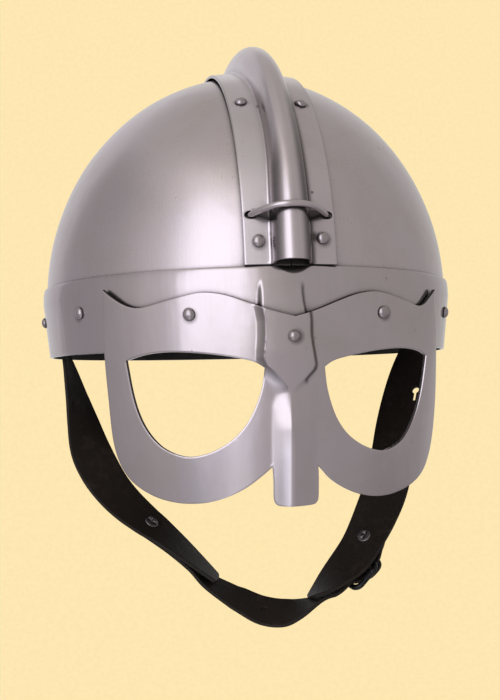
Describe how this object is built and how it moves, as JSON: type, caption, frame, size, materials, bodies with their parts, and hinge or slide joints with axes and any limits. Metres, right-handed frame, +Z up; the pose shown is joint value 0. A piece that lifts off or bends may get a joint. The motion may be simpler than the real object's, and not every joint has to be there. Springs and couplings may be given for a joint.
{
  "type": "viking spectacle helmet",
  "caption": "Riveted steel helmet with a raised comb, a brow band, a spectacle-shaped face guard and a buckled leather chin strap, worn to protect the head and face.",
  "frame": {"origin": "where the inside of the crown bears on the top of the head that holds the helmet up", "axes": "+X towards the wearer's left, -Y the way the face looks, +Z up"},
  "size_m": [0.2144, 0.2702, 0.294],
  "materials": {
    "polished_steel": "bright satin polish with fine lines, slightly handled",
    "dark_steel": "blackened, satin, worn on the bends",
    "black_leather": "black dyed leather, matt flesh side, raw cut edges"
  },
  "bodies": {
    "root": {"bowl_left": "polished_steel", "bowl_right": "polished_steel", "brow_band": "polished_steel", "spectacle_mask": "polished_steel", "comb_plate": "polished_steel", "comb_staple": "polished_steel", "comb_rivet_1_left": "polished_steel", "comb_rivet_1_right": "polished_steel", "comb_rivet_2_left": "polished_steel", "comb_rivet_2_right": "polished_steel", "comb_rivet_3_left": "polished_steel", "comb_rivet_3_right": "polished_steel", "comb_rivet_4_left": "polished_steel", "comb_rivet_4_right": "polished_steel", "comb_rivet_5_left": "polished_steel", "comb_rivet_5_right": "polished_steel", "band_rivet_nose_mid": "polished_steel", "band_rivet_brow_left": "polished_steel", "band_rivet_brow_right": "polished_steel", "band_rivet_temple_left": "polished_steel", "band_rivet_temple_right": "polished_steel", "band_rivet_ear_left": "polished_steel", "band_rivet_ear_right": "polished_steel", "band_rivet_rear_left": "polished_steel", "band_rivet_rear_right": "polished_steel", "band_rivet_back_left": "polished_steel", "band_rivet_back_right": "polished_steel", "tongue_rivet": "polished_steel", "buckle_rivet": "polished_steel", "buckle_frame": "dark_steel", "buckle_prong": "dark_steel", "strap_left": "black_leather", "strap_right": "black_leather", "strap_tongue": "black_leather", "buckle_tab": "black_leather"}
  },
  "joints": []
}
